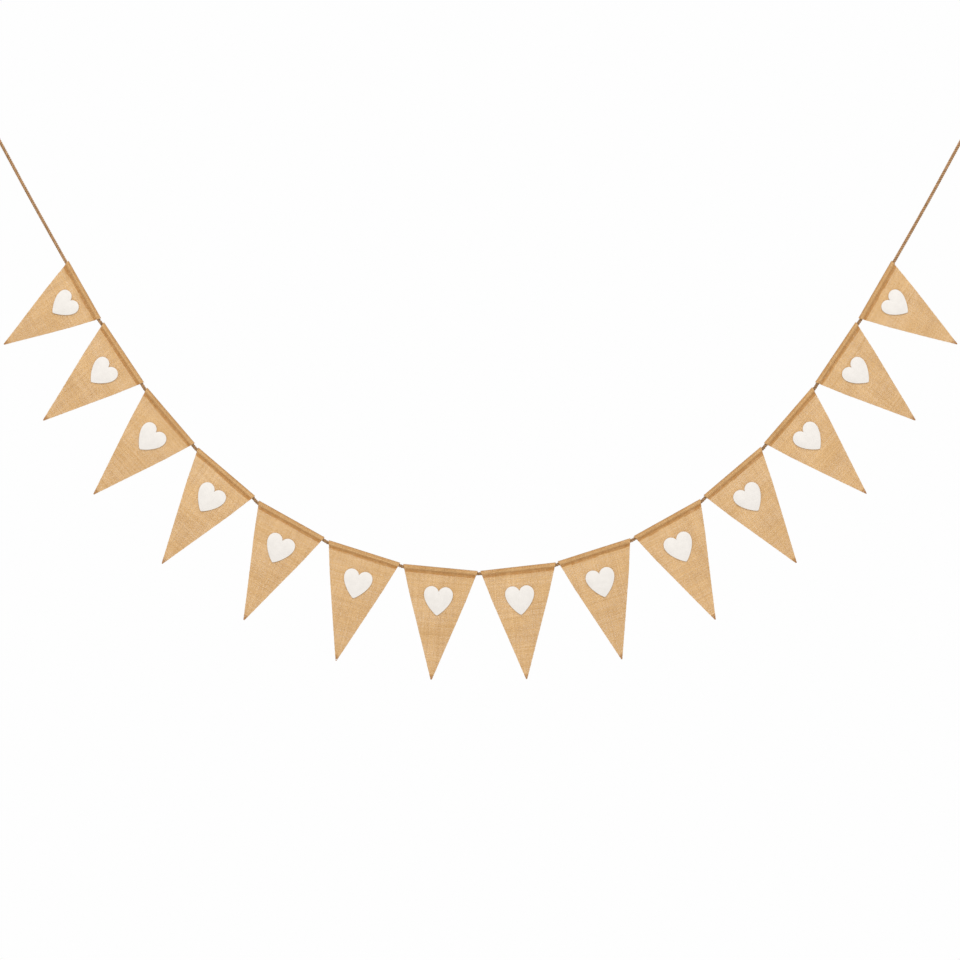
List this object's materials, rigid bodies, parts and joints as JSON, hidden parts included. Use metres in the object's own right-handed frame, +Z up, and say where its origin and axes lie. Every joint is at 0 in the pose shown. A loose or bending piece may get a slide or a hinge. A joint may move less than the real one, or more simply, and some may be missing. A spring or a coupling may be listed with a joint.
{
  "type": "hessian bunting with felt hearts on a string",
  "caption": "String of triangular hessian pennants, each with a felt heart, folded over a jute string that hangs by a knotted loop at each end",
  "frame": {"origin": "top of the left hanging loop's opening, where it rests on a hook", "axes": "+X runs level to the right hook, +Y points to the back, away from the hearts, and +Z points up"},
  "size_m": [1.7915, 0.0234, 1.0304],
  "materials": {
    "hessian": "natural tan jute hessian, plain weave with uneven yarns, matt",
    "felt": "off-white wool felt, matt",
    "jute_string": "brown twisted jute string, matt and slightly hairy"
  },
  "bodies": {
    "root": {"pennant_01": "hessian", "pennant_02": "hessian", "pennant_03": "hessian", "pennant_04": "hessian", "pennant_05": "hessian", "pennant_06": "hessian", "pennant_07": "hessian", "pennant_08": "hessian", "pennant_09": "hessian", "pennant_10": "hessian", "pennant_11": "hessian", "pennant_12": "hessian", "pennant_13": "hessian", "pennant_14": "hessian", "heart_01": "felt", "heart_02": "felt", "heart_03": "felt", "heart_04": "felt", "heart_05": "felt", "heart_06": "felt", "heart_07": "felt", "heart_08": "felt", "heart_09": "felt", "heart_10": "felt", "heart_11": "felt", "heart_12": "felt", "heart_13": "felt", "heart_14": "felt", "string": "jute_string", "knot_left": "jute_string", "knot_right": "jute_string", "loop_left": "jute_string", "loop_right": "jute_string", "tail_left": "jute_string", "tail_right": "jute_string"}
  },
  "joints": []
}
